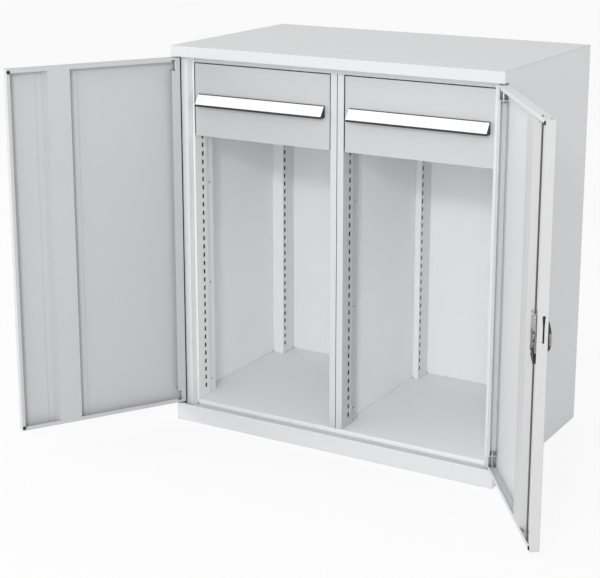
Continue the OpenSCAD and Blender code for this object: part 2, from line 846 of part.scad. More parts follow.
// Cam with one crank pin for each rod, held by a headed stud in its middle
module lock_cam() {
    stud = link_in - 0.5;
    color(zinc) right_leaf() {
        bar_d(cam_r, cam_d0, cam_d1, lock_s, lock_z);
        bar_d(stud, cam_d1 - 1, pin_end + 1, lock_s, lock_z);
        bar_d(stud + 2.5, pin_end, pin_end + 1.5, lock_s, lock_z);
        for (side = [-1, 1])
            bar_d(pin_r, cam_d1 - 1, pin_end, lock_s + side * crank_rest,
                lock_z + side * crank_rest);
    }
}

// Plug of the key cylinder, with its keyway
module key_plug() {
    color(zinc) right_leaf() difference() {
        bar_d(plug_r, -knob_h - 0.5, -knob_h1 - 0.1, lock_s, lock_z);
        span(lock_s - 0.9, lock_s + 0.9, -knob_h - 0.5 - eps, 1 - knob_h1 - 2,
            lock_z - 4.5, lock_z + 4.5);
    }
}

// Outline of a rod from its link to a tip this far above the axis,
// with the cross slot on the left
module rod_plan(tip) {
    difference() {
        union() {
            strip(-link_out, -link_in, -crank_rest - link_half, -crank_rest + link_half);
            strip(-link_in - neck_w, -link_in, -crank_rest, neck_top);
            strip(-rod_w / 2, rod_w / 2, link_top, tip);
        }
        strip(-crank - pin_r - 0.5, -crank_rest + pin_r + 0.5,
            -crank_rest - pin_r - pin_play, -crank_rest + pin_r + pin_play);
    }
}

module rod_upper() {
    color(dark_steel) right_leaf() plate_d(rod_d0, rod_d1)
        rod_plan(leaf_z1 + rod_tip - lock_z);
}

module rod_lower() {
    color(dark_steel) right_leaf() plate_d(rod_d0, rod_d1)
        rotate(180) rod_plan(lock_z - leaf_z0 + rod_tip);
}

// ---- drawers, drawn in the right bay ----

// Front with its edges folded back
module drawer_front() {
    color(inner_grey) difference() {
        translate([0, 0, front_z0]) linear_extrude(front_h)
            folded_plan(front_x0, front_x1, bay_y, front_back);
        span(front_x0 + sheet, front_x1 - sheet, bay_y + sheet, front_back + eps,
            front_z0 + sheet, front_z1 - sheet);
    }
}

module drawer_tray() {
    z1 = tray_z0 + tray_h;
    color(inner_grey) difference() {
        span(tray_x0, tray_x1, tray_y0, tray_y0 + tray_len, tray_z0, z1);
        span(tray_x0 + tray_sheet, tray_x1 - tray_sheet, tray_y0 + tray_sheet,
            tray_y0 + tray_len - tray_sheet, tray_z0 + tray_sheet, z1 + eps);
    }
}

// Extrudes a handle outline, drawn with x to the front and y up
module handle_run(x, length) {
    translate([x, bay_y, handle_z]) rotate([90, 0, 90]) mirror([1, 0, 0])
        linear_extrude(length) children();
}

// Slanting grip rail, open behind and below for the fingers
module drawer_handle() {
    slope_h = handle_h - 5;
    color(black) handle_run(handle_x - rail_w / 2, rail_w)
        polygon([
            [0, 0], [4, 0], [handle_out, -slope_h], [handle_out, -handle_h],
            [handle_out - 3.5, -handle_h], [handle_out - 3.5, -slope_h - 0.8],
            [4.2, -6], [2, -6], [2, -handle_h], [0, -handle_h]
        ]);
}

// Label strip on the slanting face, over the whole handle
module label_strip() {
    run = [handle_out - 4, 5 - handle_h];
    along = run / norm(run);
    out = [-along[1], along[0]];
    p0 = [4, 0] + label_top * along;
    p1 = [4, 0] + run - label_foot * along;
    color(white) handle_run(handle_x - handle_w / 2, handle_w)
        polygon([p0, p1, p1 + label_t * out, p0 + label_t * out]);
}

// End caps, flush with the rail's outline
module handle_caps() {
    color(black) for (x = [handle_x - handle_w / 2, handle_x + rail_w / 2])
        handle_run(x, cap_t)
            polygon([[0, 0], [4, 0], [handle_out, 5 - handle_h], [handle_out, -handle_h], [0, -handle_h]]);
}

// Channel member of a slide: web at x0, flanges to x1, between two heights about the middle
module slide_member(x0, x1, web_x, half) {
    translate([0, slide_y0 + slide_len, slide_z]) rotate([90, 0, 0]) linear_extrude(slide_len) {
        strip(web_x, web_x + slide_sheet, -half, half);
        strip(x0, x1, half - slide_sheet, half);
        strip(x0, x1, -half, slide_sheet - half);
    }
}

// Both slides of a drawer: one at the partition, one mirrored at the outer upright
module slide_pair() {
    children();
    translate([part_x + bay_x, 0, 0]) mirrored() children();
}

module cabinet_slides() {
    color(zinc) slide_pair()
        slide_member(part_x, part_x + slide_w - 4, part_x, slide_h / 2);
}

module middle_slides() {
    step = slide_sheet + slide_play;
    color(zinc) slide_pair()
        slide_member(part_x + step, part_x + slide_w - 2, part_x + step, slide_h / 2 - step);
}

module drawer_slides() {
    step = slide_sheet + slide_play;
    color(zinc) slide_pair()
        slide_member(part_x + 2 * step, tray_x0, tray_x0 - slide_sheet, slide_h / 2 - 2 * step);
}

module cabinet_slides_left() { mirrored() cabinet_slides(); }
module cabinet_slides_right() { cabinet_slides(); }
module drawer_front_left() { mirrored() drawer_front(); }
module drawer_front_right() { drawer_front(); }
module drawer_tray_left() { mirrored() drawer_tray(); }
module drawer_tray_right() { drawer_tray(); }
module drawer_handle_left() { mirrored() drawer_handle(); }
module drawer_handle_right() { drawer_handle(); }
module label_strip_left() { mirrored() label_strip(); }
module label_strip_right() { label_strip(); }
module handle_caps_left() { mirrored() handle_caps(); }
module handle_caps_right() { handle_caps(); }
module drawer_slides_left() { mirrored() drawer_slides(); }
module drawer_slides_right() { drawer_slides(); }
module middle_slides_left() { mirrored() middle_slides(); }
module middle_slides_right() { middle_slides(); }

// ---- one line per piece ----

lid();
side_panel_left();
side_panel_right();
back_panel();
floor_panel();
base_runner();
plinth_front();
top_rail();
front_upright_left();
front_upright_right();
rear_upright_left();
rear_upright_right();
partition_front_left();
partition_front_right();
partition_rear_left();
partition_rear_right();
partition_sheet();
hinge_plate_top_left();
hinge_plate_top_right();
hinge_plate_bottom_left();
hinge_plate_bottom_right();
cabinet_slides_left();
cabinet_slides_right();
door_left();
door_left_stiffener();
door_left_hinge_bolts();
door_left_bolt_saddles();
door_left_buffers();
door_right();
door_right_stiffener();
door_right_hinge_bolts();
door_right_bolt_saddles();
door_right_buffers();
lock_case();
lock_screws();
rod_guide();
edge_insert();
knob_plate();
turn_knob();
knob_grip();
lock_spindle();
lock_cam();
key_plug();
rod_upper();
rod_lower();
drawer_front_left();
drawer_tray_left();
drawer_handle_left();
label_strip_left();
handle_caps_left();
drawer_slides_left();
middle_slides_left();
drawer_front_right();
drawer_tray_right();
drawer_handle_right();
label_strip_right();
handle_caps_right();
drawer_slides_right();
middle_slides_right();
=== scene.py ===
import json
import math

import bmesh
import bpy
from mathutils import Euler, Matrix, Vector


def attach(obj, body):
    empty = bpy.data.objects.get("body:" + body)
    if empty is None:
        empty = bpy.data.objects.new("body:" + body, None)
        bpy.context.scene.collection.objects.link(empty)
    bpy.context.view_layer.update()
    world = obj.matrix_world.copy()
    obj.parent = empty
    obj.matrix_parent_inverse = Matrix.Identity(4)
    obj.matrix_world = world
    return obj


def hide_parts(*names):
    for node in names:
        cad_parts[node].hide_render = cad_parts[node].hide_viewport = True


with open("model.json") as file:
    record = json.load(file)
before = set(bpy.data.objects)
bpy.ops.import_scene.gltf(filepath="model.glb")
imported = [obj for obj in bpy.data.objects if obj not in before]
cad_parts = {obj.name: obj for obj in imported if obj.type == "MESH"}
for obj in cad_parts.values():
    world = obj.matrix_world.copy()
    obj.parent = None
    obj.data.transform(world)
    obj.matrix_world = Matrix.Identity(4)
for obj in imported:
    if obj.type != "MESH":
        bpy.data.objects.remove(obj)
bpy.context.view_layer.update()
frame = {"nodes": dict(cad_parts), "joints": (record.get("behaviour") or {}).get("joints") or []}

# ---- Plinth, floor and base runner ----
# Folded steel sheet with a fine textured powder coat. The plinth's front turns back into a
# channel, the floor panel lies behind it, and the runner under the floor carries the partition.

def new_group(name, ins, outs):
    """A shader node group with these inputs and outputs, and its own input and output nodes."""
    group = bpy.data.node_groups.new(name, "ShaderNodeTree")
    for label, kind, value in ins:
        socket = group.interface.new_socket(label, in_out="INPUT", socket_type=kind)
        socket.default_value = value
    for label, kind in outs:
        group.interface.new_socket(label, in_out="OUTPUT", socket_type=kind)
    return group, group.nodes.new("NodeGroupInput"), group.nodes.new("NodeGroupOutput")


def wire(tree, *pairs):
    """Links each output socket to the input socket it is paired with."""
    for source, target in pairs:
        tree.links.new(source, target)


def maths(tree, operation, *values):
    """A Math node whose inputs are numbers or sockets; returns its output socket."""
    step = tree.nodes.new("ShaderNodeMath")
    step.operation = operation
    for slot, value in zip(step.inputs, values):
        if isinstance(value, (int, float)):
            slot.default_value = value
        else:
            tree.links.new(value, slot)
    return step.outputs[0]


def noise(tree, vector, scale, detail):
    """A Noise texture of this scale; returns its factor."""
    step = tree.nodes.new("ShaderNodeTexNoise")
    step.inputs["Scale"].default_value = scale
    step.inputs["Detail"].default_value = detail
    tree.links.new(vector, step.inputs["Vector"])
    return step.outputs["Fac"]


def blend_colour(tree, factor, first, second):
    """A Mix node in its colour mode, whose sockets are 0, 6 and 7 in and 2 out."""
    step = tree.nodes.new("ShaderNodeMix")
    step.data_type = "RGBA"
    for slot, value in ((step.inputs[0], factor), (step.inputs[6], first), (step.inputs[7], second)):
        if isinstance(value, bpy.types.NodeSocket):
            tree.links.new(value, slot)
        else:
            slot.default_value = value
    return step.outputs[2]


# Powder grain: the pebbled skin of the coat, and faint clouds in its shade
coat_grain, gi, go = new_group(
    "powder grain",
    [("Grain Size", "NodeSocketFloat", 700.0), ("Cloud Size", "NodeSocketFloat", 3.0)],
    [("Height", "NodeSocketFloat"), ("Cloud", "NodeSocketFloat"), ("Speckle", "NodeSocketFloat")])
place = coat_grain.nodes.new("ShaderNodeTexCoord").outputs["Object"]
pebble = coat_grain.nodes.new("ShaderNodeTexVoronoi")
pebble.feature = "SMOOTH_F1"
wire(coat_grain, (place, pebble.inputs["Vector"]), (gi.outputs["Grain Size"], pebble.inputs["Scale"]))
cloud = coat_grain.nodes.new("ShaderNodeTexNoise")
cloud.inputs["Detail"].default_value = 3.0
wire(coat_grain, (place, cloud.inputs["Vector"]), (gi.outputs["Cloud Size"], cloud.inputs["Scale"]))
peel = noise(coat_grain, place, 160.0, 2.0)
wire(coat_grain,
     (maths(coat_grain, "ADD", pebble.outputs["Distance"], maths(coat_grain, "MULTIPLY", peel, 0.7)),
      go.inputs["Height"]),
     (cloud.outputs["Fac"], go.inputs["Cloud"]),
     (noise(coat_grain, place, 420.0, 1.0), go.inputs["Speckle"]))

# Edge wear: where a fold or cut edge turns, broken up so that the rub is uneven
edge_wear, gi, go = new_group(
    "edge wear",
    [("Radius", "NodeSocketFloat", 0.0012), ("Breakup", "NodeSocketFloat", 60.0)],
    [("Mask", "NodeSocketFloat"), ("Normal", "NodeSocketVector")])
place = edge_wear.nodes.new("ShaderNodeTexCoord").outputs["Object"]
turn = edge_wear.nodes.new("ShaderNodeBevel")
turn.samples = 4
wire(edge_wear, (gi.outputs["Radius"], turn.inputs["Radius"]))
flat = edge_wear.nodes.new("ShaderNodeNewGeometry")
agree = edge_wear.nodes.new("ShaderNodeVectorMath")
agree.operation = "DOT_PRODUCT"
wire(edge_wear, (turn.outputs["Normal"], agree.inputs[0]), (flat.outputs["True Normal"], agree.inputs[1]))
bent = maths(edge_wear, "MULTIPLY", maths(edge_wear, "SUBTRACT", 1.0, agree.outputs["Value"]), 3.0)
patch = edge_wear.nodes.new("ShaderNodeTexNoise")
patch.inputs["Detail"].default_value = 3.0
wire(edge_wear, (place, patch.inputs["Vector"]), (gi.outputs["Breakup"], patch.inputs["Scale"]))
wire(edge_wear,
     (maths(edge_wear, "MINIMUM", maths(edge_wear, "MULTIPLY", bent, patch.outputs["Fac"]), 1.0),
      go.inputs["Mask"]),
     (turn.outputs["Normal"], go.inputs["Normal"]))

# Painted gap shade: a dark line painted along narrow gaps between two sheets, where little light gets in,
# found by ambient occlusion
painted_gap_shade, gi, go = new_group(
    "painted gap shade", [("Reach", "NodeSocketFloat", 0.014)], [("Mask", "NodeSocketFloat")])
hemmed = painted_gap_shade.nodes.new("ShaderNodeAmbientOcclusion")
hemmed.samples = 6
wire(painted_gap_shade, (gi.outputs["Reach"], hemmed.inputs["Distance"]))
deep = maths(painted_gap_shade, "MULTIPLY", maths(painted_gap_shade, "SUBTRACT", 0.42, hemmed.outputs["AO"]), 4.0)
wire(painted_gap_shade, (maths(painted_gap_shade, "MINIMUM", maths(painted_gap_shade, "MAXIMUM", deep, 0.0), 1.0),
                go.inputs["Mask"]))


def use_group(tree, group, **values):
    """Places a node group in a material, with its own values for the named inputs."""
    step = tree.nodes.new("ShaderNodeGroup")
    step.node_tree = group
    for label, value in values.items():
        step.inputs[label.replace("_", " ")].default_value = value
    return step


def surface(name):
    """A new material with an empty Principled shader; returns material, tree and shader."""
    material = bpy.data.materials.new(name)
    material.use_nodes = True
    tree = material.node_tree
    return material, tree, tree.nodes["Principled BSDF"]


def bump(tree, shader, height, distance, strength, normal=None):
    """Turns a height into the shader's normal, on top of a given normal if there is one."""
    step = tree.nodes.new("ShaderNodeBump")
    step.inputs["Strength"].default_value = strength
    step.inputs["Distance"].default_value = distance
    wire(tree, (height, step.inputs["Height"]), (step.outputs["Normal"], shader.inputs["Normal"]))
    if normal is not None:
        wire(tree, (normal, step.inputs["Normal"]))


coat_tint = (0.99, 1.0, 1.01)
coat_roughness, roughness_spread = 0.42, 0.12
# Colour of the painted shade along narrow gaps
gap_shade_colour = (0.04, 0.04, 0.045, 1.0)

# Clouds, specks and rubbed folds as parts of the coat's own shade, and how far each mask shows, the
# painted gap shade too
cloud_part, speck_part, rub_part = 0.965, 0.8, 1.12
speck_share, rub_share, gap_shade_share = 0.05, 0.5, 0.85
palest = 0.9


def powder_coat(name, shade, inside=None):
    """Powder coat of one grey shade: clouds, grain, paler rubbed folds and painted shade in
    narrow gaps. Where inside(tree, across, depth) is given, it lists masks of faces that get a
    painted lighter or darker shade of their own. The real coat is one colour, and these shades
    are painted light and shade that stand in for uneven light."""
    material, tree, shader = surface(name)
    grain = use_group(tree, coat_grain)
    worn = use_group(tree, edge_wear)
    gap = use_group(tree, painted_gap_shade)
    dark = tuple(shade * cloud_part * tint for tint in coat_tint) + (1.0,)
    pale = tuple(shade * tint for tint in coat_tint) + (1.0,)
    rub = tuple(min(palest, value * rub_part) for value in pale[:3]) + (1.0,)
    speck = (shade * speck_part, shade * speck_part, shade * speck_part, 1.0)
    skin = blend_colour(tree, grain.outputs["Cloud"], dark, pale)
    skin = blend_colour(tree, maths(tree, "MULTIPLY", grain.outputs["Speckle"], speck_share),
                        skin, speck)
    skin = blend_colour(tree, maths(tree, "MULTIPLY", worn.outputs["Mask"], rub_share), skin, rub)
    # Faces that get a painted lighter or darker shade of their own
    if inside is not None:
        axes = tree.nodes.new("ShaderNodeSeparateXYZ")
        wire(tree, (tree.nodes.new("ShaderNodeTexCoord").outputs["Object"], axes.inputs[0]))
        across = maths(tree, "ABSOLUTE", axes.outputs["X"])
        for mask, other in inside(tree, across, axes.outputs["Y"]):
            skin = blend_colour(tree, mask, skin, (other, other, other, 1.0))
    # Painted shade along narrow gaps, darker where little light gets in
    skin = blend_colour(tree, maths(tree, "MULTIPLY", gap.outputs["Mask"], gap_shade_share),
                        skin, gap_shade_colour)
    sheen = maths(tree, "ADD", maths(tree, "MULTIPLY", grain.outputs["Speckle"], roughness_spread),
                  coat_roughness)
    wire(tree, (skin, shader.inputs["Base Color"]), (sheen, shader.inputs["Roughness"]))
    bump(tree, shader, grain.outputs["Height"], 0.00012, 0.35, worn.outputs["Normal"])
    return material


def finish_nodes(material, *names):
    """Gives CAD nodes this material."""
    for name in names:
        mesh = frame["nodes"][name].data
        mesh.materials.clear()
        mesh.materials.append(material)


# The floor panel and runner take a paler copy of the plinth's coat: painted light for the light that
# reaches into the bays
plinth_coat = powder_coat("plinth coat", 0.63)
floor_painted_light_coat = powder_coat("floor painted light coat", 0.86)
finish_nodes(plinth_coat, "plinth_front")
finish_nodes(floor_painted_light_coat, "floor_panel", "base_runner")

# ---- Outer panels, lid and top rail ----
# Side and back panels of single steel sheet, the folded lid that covers them, and the rail
# that closes the front over both bays, all powder coated.

# Planes that part one face from another, in metres from the cabinet's middle
side_sheet_middle = 0.49925
back_sheet_middle = 0.299
groove_front, groove_rear = -0.2712, -0.256
groove_inner, groove_outer = 0.485, 0.4948
bay_front = -0.2575
front_posts_end = -0.151
rear_columns_start = 0.236
column_at_partition, column_at_side = 0.0188, 0.4615

# Painted shade for the grooves and for the hollows behind posts and columns, and painted light for the
# sheets at the bays' sides
groove_painted_shade = 0.03
hollow_painted_shade = 0.08
bay_side_painted_light = 0.92


def between(tree, value, low, high):
    """1 where the value lies between two numbers, else 0."""
    return maths(tree, "MULTIPLY", maths(tree, "GREATER_THAN", value, low),
                 maths(tree, "LESS_THAN", value, high))


def side_painted_light_and_shade(tree, across, depth):
    """Masks of painted light on the side panels' inner faces, and of painted shade on their parts hidden
    behind posts and in the grooves.
    """
    inner = maths(tree, "MULTIPLY", maths(tree, "LESS_THAN", across, side_sheet_middle),
                  maths(tree, "GREATER_THAN", depth, bay_front))
    behind_posts = maths(tree, "SUBTRACT", 1.0,
                         between(tree, depth, front_posts_end, rear_columns_start))
    groove = maths(tree, "MULTIPLY", between(tree, across, groove_inner, groove_outer),
                   between(tree, depth, groove_front, groove_rear))
    return [(inner, bay_side_painted_light),
            (maths(tree, "MULTIPLY", inner, behind_posts), hollow_painted_shade),
            (groove, groove_painted_shade)]


def back_painted_shade(tree, across, depth):
    """Mask of painted shade on the back panel's inner face where the rear columns hide it."""
    behind_columns = maths(tree, "SUBTRACT", 1.0,
                           between(tree, across, column_at_partition, column_at_side))
    inner = maths(tree, "LESS_THAN", depth, back_sheet_middle)
    return [(maths(tree, "MULTIPLY", inner, behind_columns), hollow_painted_shade)]


# The side panels' inner faces and the whole back panel get paler shades than the outer faces: painted
# light for the light that reaches into the bays
side_coat = powder_coat("side coat", 0.69, inside=side_painted_light_and_shade)
lid_coat = powder_coat("lid coat", 0.6)
back_painted_light_coat = powder_coat("back painted light coat", 0.83, inside=back_painted_shade)
finish_nodes(side_coat, "side_panel_left", "side_panel_right")
finish_nodes(back_painted_light_coat, "back_panel")
finish_nodes(lid_coat, "lid", "top_rail")

# ---- Uprights and partition ----
# Roll-formed steel posts with shelf slots at a steady pitch, and the double partition
# between the bays, whose sheet is held between its front and rear columns. Powder coated.

# Where a front post's painted light and shade change, and the painted light on all behind its front strip
post_groove_inner = 0.4858
post_strip_rear = -0.2705
post_hollow_inner = 0.467
post_hollow_front, post_hollow_rear = -0.245, -0.1508
sheet_front = -0.1505
slotted_painted_light = 0.86


def post_painted_light_and_shade(tree, across, depth):
    """Masks of painted light on all of a front post behind its front strip, and of painted shade in its
    hollow and its groove.
    """
    groove = maths(tree, "MULTIPLY", maths(tree, "GREATER_THAN", across, post_groove_inner),
                   between(tree, depth, groove_front, groove_rear))
    hollow = maths(tree, "MULTIPLY", maths(tree, "GREATER_THAN", across, post_hollow_inner),
                   between(tree, depth, post_hollow_front, post_hollow_rear))
    return [(maths(tree, "GREATER_THAN", depth, post_strip_rear), slotted_painted_light),
            (hollow, hollow_painted_shade),
            (groove, groove_painted_shade)]


def sheet_painted_shade(tree, across, depth):
    """Mask of painted shade on the partition sheet where its columns hide it."""
    bare = between(tree, depth, sheet_front, rear_columns_start)
    return [(maths(tree, "SUBTRACT", 1.0, bare), hollow_painted_shade)]


# Lit and shaded copies of one coat: the left post is painted lighter and the right post darker, and the
# rear columns and the partition sheet paler, for how light falls into the bays
left_post_painted_light_coat = powder_coat("left post painted light coat", 0.72, inside=post_painted_light_and_shade)
right_post_painted_shade_coat = powder_coat("right post painted shade coat", 0.66, inside=post_painted_light_and_shade)
column_coat = powder_coat("column coat", 0.59)
depth_painted_light_coat = powder_coat("depth painted light coat", 0.81)
sheet_painted_light_coat = powder_coat("partition sheet painted light coat", bay_side_painted_light, inside=sheet_painted_shade)
finish_nodes(left_post_painted_light_coat, "front_upright_left")
finish_nodes(right_post_painted_shade_coat, "front_upright_right")
finish_nodes(column_coat, "partition_front_left", "partition_front_right")
finish_nodes(depth_painted_light_coat, "rear_upright_left", "rear_upright_right", "partition_rear_left",
             "partition_rear_right")
finish_nodes(sheet_painted_light_coat, "partition_sheet")

# ---- Hinge plates and bolts, slides, lock case ----
# Stamped and drawn steel, zinc plated: a faintly blotched plating over fine drawing lines.
# The hinge plates lie in the lid's front fold and in the plinth's channel, the slides
# between uprights and trays, and the rest sits in the leaves.

drawing_stretch = (1.0, 1.0, 0.04)
blotch_tint = (0.85, 0.86, 0.88)
plate_tint = (1.0, 1.0, 0.99)


def plated_steel(name, shade, rough=0.32):
    """Plated steel of one shade, its drawing lines running upwards."""
    material, tree, shader = surface(name)
    shader.inputs["Metallic"].default_value = 1.0
    place = tree.nodes.new("ShaderNodeTexCoord").outputs["Object"]
    stretch = tree.nodes.new("ShaderNodeMapping")
    stretch.inputs["Scale"].default_value = drawing_stretch
    wire(tree, (place, stretch.inputs["Vector"]))
    lines = noise(tree, stretch.outputs["Vector"], 1500.0, 2.0)
    blotch = noise(tree, place, 90.0, 3.0)
    worn = use_group(tree, edge_wear, Radius=0.0006)
    dark = tuple(shade * tint for tint in blotch_tint) + (1.0,)
    pale = tuple(shade * tint for tint in plate_tint) + (1.0,)
    skin = blend_colour(tree, blotch, dark, pale)
    wire(tree, (skin, shader.inputs["Base Color"]),
         (maths(tree, "ADD", maths(tree, "MULTIPLY", lines, 0.22), rough), shader.inputs["Roughness"]))
    bump(tree, shader, lines, 0.00005, 0.25, worn.outputs["Normal"])
    return material


zinc = plated_steel("zinc plate", 0.62)
finish_nodes(zinc, "hinge_plate_top_left", "hinge_plate_top_right", "hinge_plate_bottom_left",
             "hinge_plate_bottom_right", "door_left_hinge_bolts", "door_right_hinge_bolts",
             "door_left_bolt_saddles", "door_right_bolt_saddles", "cabinet_slides_left",
             "cabinet_slides_right", "drawer_slides_left", "drawer_slides_right",
             "middle_slides_left", "middle_slides_right", "lock_case", "lock_screws",
             "lock_spindle", "lock_cam")

# ---- Door leaves ----
# Each leaf is a pan folded from steel sheet, with return lips on all four sides, and powder
# coated like the body. It turns on two hinge bolts, at the top and foot of its outer edge.

joints = {joint["name"]: joint for joint in frame["joints"]}
hinge_x, hinge_y, hinge_z = joints["right_door_hinge"]["pos_m"]
left_opening = -joints["left_door_hinge"]["range_deg"][0]
right_opening = -joints["right_door_hinge"]["range_deg"][0]
hinge_to_edge = 0.0075
hinge_to_face = 0.012
free_edge_start = 0.4901
outer_skin = -0.0114


def leaf_painted_shades(opening, face, edge):
    """Masks that give the outer face and the free edge of a leaf, which stands open by this many degrees,
    painted shades of their own.
    """
    sine, cosine = math.sin(math.radians(opening)), math.cos(math.radians(opening))

    def faces(tree, across, depth):
        aside = maths(tree, "SUBTRACT", hinge_x, across)
        behind = maths(tree, "ADD", depth, -hinge_y)
        inwards = maths(tree, "ADD", maths(tree, "MULTIPLY", aside, sine),
                        maths(tree, "MULTIPLY", behind, cosine))
        along = maths(tree, "SUBTRACT", maths(tree, "MULTIPLY", aside, cosine),
                      maths(tree, "MULTIPLY", behind, sine))
        return [(maths(tree, "GREATER_THAN", along, free_edge_start), edge),
                (maths(tree, "LESS_THAN", inwards, outer_skin), face)]

    return faces


# Lit and shaded copies of one coat: the left leaf's pan is painted darker and the right leaf's lighter,
# for how light falls on their inner faces; the outer faces and free edges get one painted shade each
left_leaf_painted_shade_coat = powder_coat("left leaf painted shade coat", 0.505,
                             inside=leaf_painted_shades(left_opening, face=0.51, edge=0.54))
right_leaf_painted_light_coat = powder_coat("right leaf painted light coat", 0.62,
                              inside=leaf_painted_shades(right_opening, face=0.51, edge=0.54))
finish_nodes(left_leaf_painted_shade_coat, "door_left")
finish_nodes(right_leaf_painted_light_coat, "door_right")

# A leaf's own axes, from the ground under its hinge edge: X towards the left leaf's free edge
# and away from the right leaf's, Y from the outer face inwards, Z up
left_leaf = (Matrix.Translation((-hinge_x, hinge_y, 0.0))
             @ Matrix.Rotation(math.radians(-left_opening), 4, "Z")
             @ Matrix.Translation((-hinge_to_edge, -hinge_to_face, 0.0)))
right_leaf = (Matrix.Translation((hinge_x, hinge_y, 0.0))
              @ Matrix.Rotation(math.radians(right_opening), 4, "Z")
              @ Matrix.Translation((hinge_to_edge, -hinge_to_face, 0.0)))

# ---- Stiffeners of the leaves ----
# A hat-shaped steel strip glued inside each leaf. Its web stops at the end lips, and its
# flanks and flanges run on under them to the end walls.

lip_underside = 0.0224
run_under_lip = 0.0094
ends_beyond = 0.4


def pick_faces(piece, wanted):
    """In edit mode, selects only the faces for which wanted(centre, normal) is true."""
    bpy.ops.mesh.select_mode(type="FACE")
    bpy.ops.mesh.select_all(action="DESELECT")
    shape = bmesh.from_edit_mesh(piece.data)
    for face in shape.faces:
        face.select = bool(wanted(face.calc_center_median(), face.normal))
    bmesh.update_edit_mesh(piece.data)


for side, leaf in (("left", left_leaf), ("right", right_leaf)):
    plain = frame["nodes"]["door_" + side + "_stiffener"]
    hat = bpy.data.objects.new("stiffener_" + side, plain.data.copy())
    bpy.context.scene.collection.objects.link(hat)
    bpy.ops.object.select_all(action="DESELECT")
    hat.select_set(True)
    bpy.context.view_layer.objects.active = hat
    bpy.ops.object.mode_set(mode="EDIT")
    bpy.ops.mesh.select_all(action="SELECT")
    bpy.ops.mesh.remove_doubles(threshold=0.000002)
    bpy.ops.mesh.dissolve_limited(angle_limit=math.radians(0.5))
    bpy.ops.mesh.select_all(action="SELECT")
    bpy.ops.mesh.bisect(plane_co=leaf @ Vector((0.0, lip_underside, 0.0)),
                        plane_no=leaf.to_3x3() @ Vector((0.0, 1.0, 0.0)))
    to_leaf = leaf.inverted()
    for end in (-1.0, 1.0):
        pick_faces(hat, lambda centre, normal: normal.z * end > 0.9
                   and abs(centre.z - hinge_z) > ends_beyond
                   and (to_leaf @ centre).y < lip_underside)
        bpy.ops.mesh.extrude_region_move(
            TRANSFORM_OT_translate={"value": (0.0, 0.0, run_under_lip * end)})
    bpy.ops.object.mode_set(mode="OBJECT")
    # Both stiffeners take the left leaf's darker painted shade copy of the coat
    hat.data.materials.clear()
    hat.data.materials.append(left_leaf_painted_shade_coat)
    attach(hat, side + "_door")
    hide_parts("door_" + side + "_stiffener")

# ---- Buffers ----
# Black rubber buffers: studs moulded with a domed head and pressed into the return lips, one
# at each free corner of a leaf.

buffer_radius, buffer_rim = 0.0049, 0.0007
buffer_dome = [(0.0005, 0.0), (0.0, 0.0011), (0.0003, 0.0005), (0.0007, 0.0004), (0.0013, 0.0002)]
buffer_along = 0.493
buffer_depth = 0.024
buffer_heights = (0.062, 1.058)
sharp_degrees = 50.0


def moulded(name, shade, rough, grain_size):
    """Moulded rubber or plastic with an eroded grain."""
    material, tree, shader = surface(name)
    place = tree.nodes.new("ShaderNodeTexCoord").outputs["Object"]
    erosion = noise(tree, place, grain_size, 3.0)
    dust = noise(tree, place, 35.0, 4.0)
    skin = blend_colour(tree, dust, (shade, shade, shade, 1.0),
                        (shade * 1.7, shade * 1.7, shade * 1.65, 1.0))
    wire(tree, (skin, shader.inputs["Base Color"]),
         (maths(tree, "ADD", maths(tree, "MULTIPLY", erosion, 0.2), rough), shader.inputs["Roughness"]))
    bump(tree, shader, erosion, 0.0001, 0.4)
    return material


def new_cylinder(name, radius, height, sides):
    """A closed cylinder that stands on the origin along Z, in edit mode."""
    bpy.ops.object.select_all(action="DESELECT")
    bpy.ops.mesh.primitive_cylinder_add(vertices=sides, radius=radius, depth=height,
                                        location=(0.0, 0.0, height / 2))
    piece = bpy.context.object
    piece.name = name
    bpy.ops.object.transform_apply(location=True)
    bpy.ops.object.mode_set(mode="EDIT")
    return piece


def raise_top(piece, steps):
    """Insets the top and lifts it by each (inset, lift) pair."""
    for inset, lift in steps:
        top = max(vertex.co.z for vertex in bmesh.from_edit_mesh(piece.data).verts)
        pick_faces(piece, lambda centre, normal: normal.z > 0.9 and centre.z > top - 1e-5)
        if inset:
            bpy.ops.mesh.inset(thickness=inset)
        if lift:
            bpy.ops.mesh.extrude_region_move(TRANSFORM_OT_translate={"value": (0.0, 0.0, lift)})


def soften(piece, width):
    """Leaves edit mode, bevels the sharp edges and shades the rest smooth."""
    bpy.ops.object.mode_set(mode="OBJECT")
    rounding = piece.modifiers.new("rounding", "BEVEL")
    rounding.width = width
    rounding.segments = 2
    rounding.limit_method = "ANGLE"
    rounding.angle_limit = math.radians(sharp_degrees)
    bpy.ops.object.modifier_apply(modifier=rounding.name)
    bpy.ops.object.shade_smooth_by_angle(angle=math.radians(sharp_degrees))


def set_out(master, name, places):
    """Copies of the master at each place, each with its own mesh, joined as one piece."""
    bpy.ops.object.select_all(action="DESELECT")
    for place in places:
        made = master.copy()
        made.data = master.data.copy()
        bpy.context.scene.collection.objects.link(made)
        made.matrix_world = place
        made.select_set(True)
        bpy.context.view_layer.objects.active = made
    bpy.ops.object.transform_apply(location=True, rotation=True, scale=True)
    if len(places) > 1:
        bpy.ops.object.join()
    bpy.context.object.name = name
    return bpy.context.object


# Turns a piece that stands up along Z so that it points from a leaf's outer face inwards
point_inwards = Matrix.Rotation(math.radians(-90.0), 4, "X")

